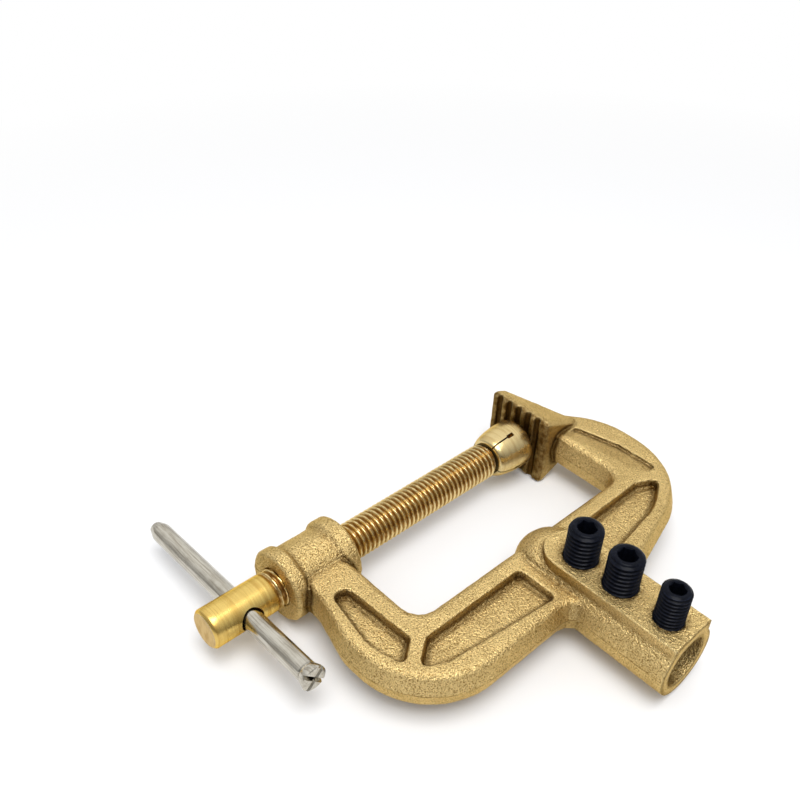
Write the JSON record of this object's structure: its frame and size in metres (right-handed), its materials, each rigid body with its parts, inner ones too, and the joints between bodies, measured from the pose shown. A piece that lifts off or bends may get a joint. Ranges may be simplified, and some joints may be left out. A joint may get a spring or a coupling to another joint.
{
  "type": "grounding clamp",
  "caption": "Cast brass C-frame grounding clamp with a serrated jaw, a clamp screw with swivel cap and tommy bar, and a cable socket closed by set screws.",
  "frame": {"origin": "centre of the cable socket's mouth, on the axis of its bore", "axes": "+X along the clamp screw towards the jaw, +Y from the socket's mouth into the clamp, +Z out of the face that carries the set screws"},
  "size_m": [0.1819, 0.1611, 0.041],
  "materials": {
    "cast_brass": "sand cast and tumbled",
    "turned_brass": "turned",
    "plated_steel": "nickel plated",
    "black_oxide": "black oxide on steel"
  },
  "bodies": {
    "frame": {"frame_casting": "cast_brass"},
    "cap": {"swivel_cap": "turned_brass"},
    "screw": {"clamp_screw": "turned_brass"},
    "bar": {"tommy_bar": "plated_steel"},
    "set_inner": {"set_screw_inner": "black_oxide"},
    "set_middle": {"set_screw_middle": "black_oxide"},
    "set_outer": {"set_screw_outer": "black_oxide"}
  },
  "joints": [
    {"name": "screw_feed", "type": "slide", "parent": "frame", "child": "cap", "axis": [1, 0, 0], "range_m": [-0.075, 0.0014]},
    {"name": "screw_turn", "type": "hinge", "parent": "cap", "child": "screw", "pos_m": [0, 0.1085, 0], "axis": [1, 0, 0], "range_deg": [-12750, 237]},
    {"name": "bar_slide", "type": "slide", "parent": "screw", "child": "bar", "axis": [0, 0.9981, -0.061], "range_m": [-0.043, 0.027]},
    {"name": "set_inner_feed", "type": "slide", "parent": "frame", "child": "set_inner", "axis": [0, 0, 1], "range_m": [-0.012, 0]},
    {"name": "set_middle_feed", "type": "slide", "parent": "frame", "child": "set_middle", "axis": [0, 0, 1], "range_m": [-0.012, 0]},
    {"name": "set_outer_feed", "type": "slide", "parent": "frame", "child": "set_outer", "axis": [0, 0, 1], "range_m": [-0.012, 0]}
  ],
  "couplings": [
    {"joint": "screw_feed", "follows": "screw_turn", "m_per_rad": 0.00033693}
  ]
}
